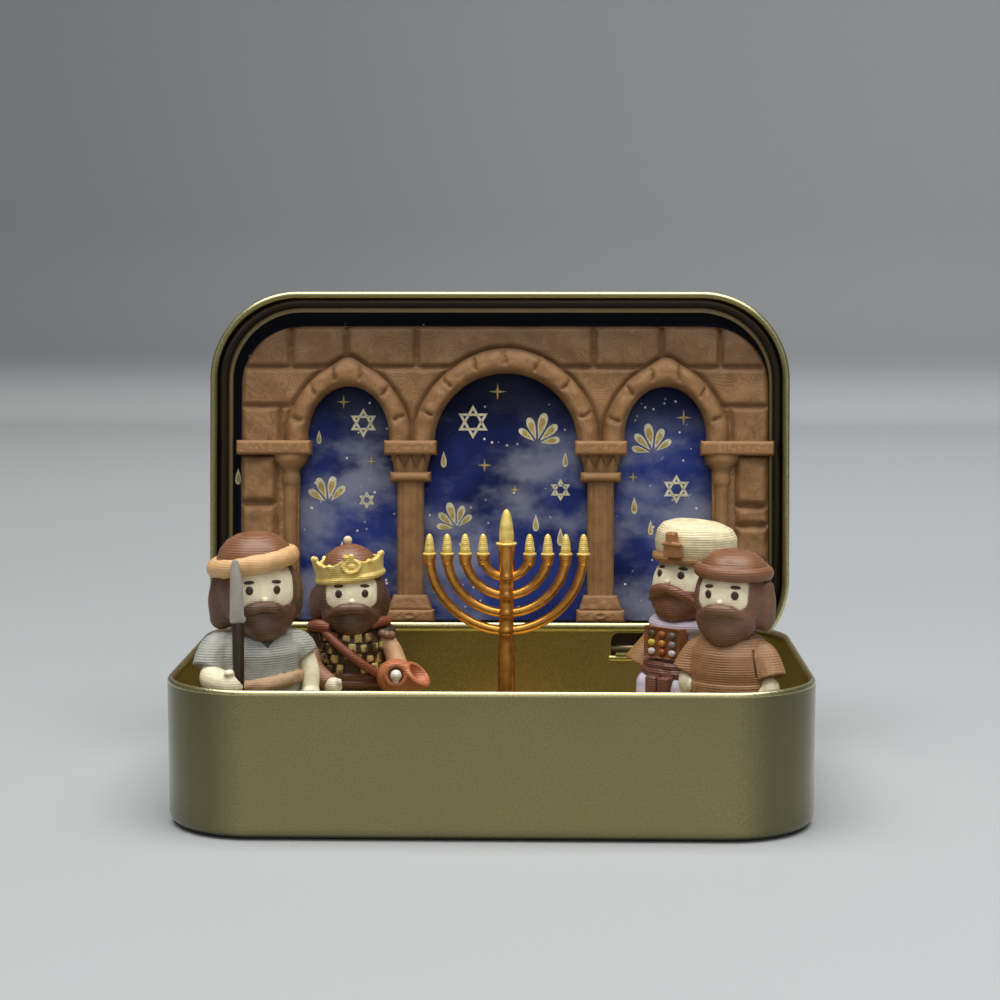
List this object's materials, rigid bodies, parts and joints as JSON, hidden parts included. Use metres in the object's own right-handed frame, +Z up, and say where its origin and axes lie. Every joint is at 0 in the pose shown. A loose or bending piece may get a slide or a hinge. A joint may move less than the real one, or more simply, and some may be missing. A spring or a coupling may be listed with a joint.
{
  "type": "hinged pocket tin scene",
  "caption": "Hinged pocket tin that opens into a festival scene: arcade and night sky in the lid, branched lamp and bearded toy figures standing loose in the tray.",
  "frame": {"origin": "centre of the tin's flat underside", "axes": "+X along the tin's length to the viewer's right, +Y towards the hinge, +Z up"},
  "size_m": [0.0978, 0.074, 0.0767],
  "materials": {
    "tin": "satin olive-gold lacquer",
    "card": "printed card",
    "tape": "adhesive foam",
    "arcade": "printed plastic with layer lines",
    "lamp_gold": "polished gold",
    "flame": "grained bright gold",
    "skin": "printed plastic",
    "hair": "printed plastic",
    "cap_brown": "printed plastic",
    "tan": "printed plastic",
    "grey": "printed plastic",
    "steel_grey": "printed plastic",
    "dark_wood": "printed plastic",
    "crown_gold": "silky printed plastic",
    "armour": "printed plastic",
    "rust": "printed plastic",
    "terracotta": "printed plastic",
    "cream": "printed plastic",
    "lilac": "printed plastic",
    "cloak": "printed plastic",
    "plate": "printed plastic",
    "red_brown": "printed plastic",
    "robe": "printed plastic"
  },
  "bodies": {
    "tray": {"tin_base": "tin"},
    "lid": {"tin_lid": "tin", "sky_card": "card", "arcade_panel": "arcade", "panel_pad_1": "tape", "panel_pad_2": "tape", "panel_pad_3": "tape", "panel_pad_4": "tape"},
    "lamp": {"lamp_frame": "lamp_gold", "lamp_flame_1": "flame", "lamp_flame_2": "flame", "lamp_flame_3": "flame", "lamp_flame_4": "flame", "lamp_flame_5": "flame", "lamp_flame_6": "flame", "lamp_flame_7": "flame", "lamp_flame_8": "flame", "lamp_flame_9": "flame"},
    "guard": {"guard_face": "skin", "guard_hair": "hair", "guard_headband": "tan", "guard_cap": "cap_brown", "guard_tunic": "grey", "guard_belt": "tan", "guard_skirt": "grey", "guard_arm_left": "skin", "guard_arm_right": "skin", "spear_shaft": "dark_wood", "spear_blade": "steel_grey"},
    "king": {"king_face": "skin", "king_hair": "hair", "king_crown": "crown_gold", "king_cap": "cap_brown", "king_armour": "armour", "king_sash": "rust", "king_belt": "rust", "king_skirt": "armour", "king_arm_left": "skin", "king_arm_right": "skin", "king_jug": "terracotta"},
    "priest": {"priest_face": "skin", "priest_beard": "red_brown", "priest_band": "cloak", "priest_turban": "cream", "priest_crest": "plate", "priest_robe_top": "lilac", "priest_sleeve_right": "cloak", "priest_sleeve_left": "cloak", "priest_breastplate": "plate", "priest_belt": "red_brown", "priest_belt_ends": "red_brown", "priest_skirt": "lilac"},
    "elder": {"elder_face": "skin", "elder_hair": "hair", "elder_brim": "cap_brown", "elder_cap": "cap_brown", "elder_tunic": "robe", "elder_skirt": "robe", "elder_hand_left": "skin", "elder_hand_right": "skin"}
  },
  "joints": [
    {"name": "lid_hinge", "type": "hinge", "parent": "tray", "child": "lid", "pos_m": [0, 0.03005, 0.0155], "axis": [1, 0, 0], "range_deg": [0, 96.25]},
    {"name": "lamp_lift", "type": "slide", "parent": "tray", "child": "lamp", "axis": [0, 0, 1], "range_m": [0, 0.222]},
    {"name": "guard_lift", "type": "slide", "parent": "tray", "child": "guard", "axis": [0, 0, 1], "range_m": [0, 0.222]},
    {"name": "king_lift", "type": "slide", "parent": "tray", "child": "king", "axis": [0, 0, 1], "range_m": [0, 0.222]},
    {"name": "priest_lift", "type": "slide", "parent": "tray", "child": "priest", "axis": [0, 0, 1], "range_m": [0, 0.222]},
    {"name": "elder_lift", "type": "slide", "parent": "tray", "child": "elder", "axis": [0, 0, 1], "range_m": [0, 0.222]}
  ],
  "couplings": [
    {"joint": "lamp_lift", "follows": "lid_hinge", "m_per_rad": 0.132},
    {"joint": "guard_lift", "follows": "lid_hinge", "m_per_rad": 0.132},
    {"joint": "king_lift", "follows": "lid_hinge", "m_per_rad": 0.132},
    {"joint": "priest_lift", "follows": "lid_hinge", "m_per_rad": 0.132},
    {"joint": "elder_lift", "follows": "lid_hinge", "m_per_rad": 0.132}
  ]
}
